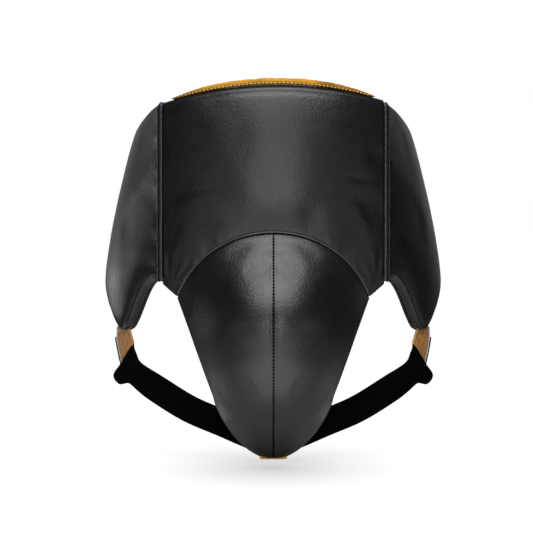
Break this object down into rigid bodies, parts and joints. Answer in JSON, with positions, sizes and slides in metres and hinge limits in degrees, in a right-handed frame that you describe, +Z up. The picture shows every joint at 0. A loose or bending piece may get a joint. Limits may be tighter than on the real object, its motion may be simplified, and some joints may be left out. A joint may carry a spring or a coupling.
{
  "type": "groin protector",
  "caption": "Padded leather groin protector with a front panel, a hard tapered cup, hinged hip wings, elastic leg straps and a hook-and-loop waist belt.",
  "frame": {"origin": "middle of the waist opening, on the waist line", "axes": "+Z up, the front faces -Y, +X to the wearer's left"},
  "size_m": [0.3158, 0.3574, 0.3412],
  "materials": {
    "black_leather": "satin",
    "gold_leather": "satin",
    "gold_lining": "satin",
    "tan_leather": "matte",
    "foam": "matte",
    "shell": "matte",
    "elastic": "matte",
    "hook_and_loop": "matte"
  },
  "bodies": {
    "front": {"belly_cover": "black_leather", "belly_foam": "foam", "belly_lining": "gold_lining", "top_binding": "gold_leather", "left_side_welt": "black_leather", "right_side_welt": "black_leather", "arch_welt": "black_leather", "cup_cover_left": "black_leather", "cup_cover_right": "black_leather", "cup_foam": "foam", "cup_shell": "shell", "cup_lining": "gold_lining", "crotch_tab": "gold_leather", "left_leg_strap": "elastic", "right_leg_strap": "elastic"},
    "left_wing": {"left_wing_cover": "black_leather", "left_wing_foam": "foam", "left_wing_lining": "gold_lining", "left_wing_gusset": "black_leather", "left_strap_tab": "tan_leather"},
    "right_wing": {"right_wing_cover": "black_leather", "right_wing_foam": "foam", "right_wing_lining": "gold_lining", "right_wing_gusset": "black_leather", "right_strap_tab": "tan_leather"},
    "left_belt_half": {"left_belt": "elastic", "hook_patch": "hook_and_loop"},
    "right_belt_half": {"right_belt": "elastic", "loop_patch": "hook_and_loop"}
  },
  "joints": [
    {"name": "left_wing_swing", "type": "hinge", "parent": "front", "child": "left_wing", "pos_m": [0.102, -0.07, 0], "axis": [0, 0, -1], "range_deg": [0, 40], "deforming": ["left_leg_strap"]},
    {"name": "right_wing_swing", "type": "hinge", "parent": "front", "child": "right_wing", "pos_m": [-0.102, -0.07, 0], "axis": [0, 0, 1], "range_deg": [0, 40], "deforming": ["right_leg_strap"]},
    {"name": "left_belt_swing", "type": "hinge", "parent": "left_wing", "child": "left_belt_half", "pos_m": [0.13826, 0.055, -0.016], "axis": [0.1911, 0, -0.9816], "range_deg": [-28, 22]},
    {"name": "right_belt_swing", "type": "hinge", "parent": "right_wing", "child": "right_belt_half", "pos_m": [-0.13826, 0.055, -0.016], "axis": [0.1911, 0, 0.9816], "range_deg": [-28, 22]}
  ]
}
